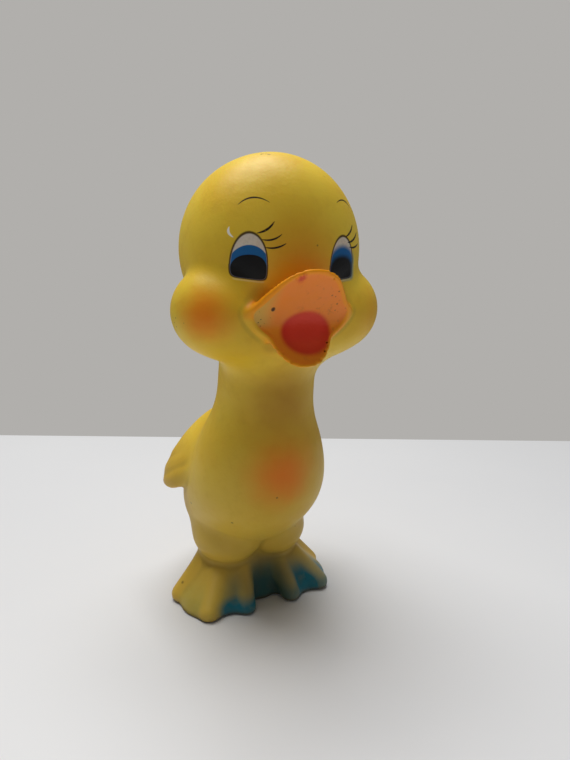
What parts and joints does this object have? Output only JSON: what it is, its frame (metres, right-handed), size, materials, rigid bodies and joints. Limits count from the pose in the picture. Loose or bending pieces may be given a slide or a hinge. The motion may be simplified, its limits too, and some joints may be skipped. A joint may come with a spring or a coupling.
{
  "type": "squeeze toy duckling",
  "caption": "Standing hollow soft vinyl duckling with an open bill, short wings and webbed feet, and a reed squeaker pressed into its sole.",
  "frame": {"origin": "on the plane the feet stand on, under the middle of the figure's width and length", "axes": "+Z from sole to crown, -Y the way the duckling faces, +X its left side"},
  "size_m": [0.0824, 0.0939, 0.188],
  "materials": {
    "vinyl": "satin",
    "squeaker_plastic": "matte",
    "reed_brass": "satin"
  },
  "bodies": {
    "toy": {"vinyl_skin": "vinyl", "squeaker_cup": "squeaker_plastic", "squeaker_cap": "squeaker_plastic", "reed_pipe": "squeaker_plastic", "reed_wedge": "squeaker_plastic"},
    "reed_strip": {"reed": "reed_brass"}
  },
  "joints": [
    {"name": "reed_flex", "type": "hinge", "parent": "toy", "child": "reed_strip", "pos_m": [0, 0.01043, 0.00565], "axis": [1, 0, 0], "range_deg": [-2, 3], "stiffness_Nm_per_rad": 0.0005}
  ]
}
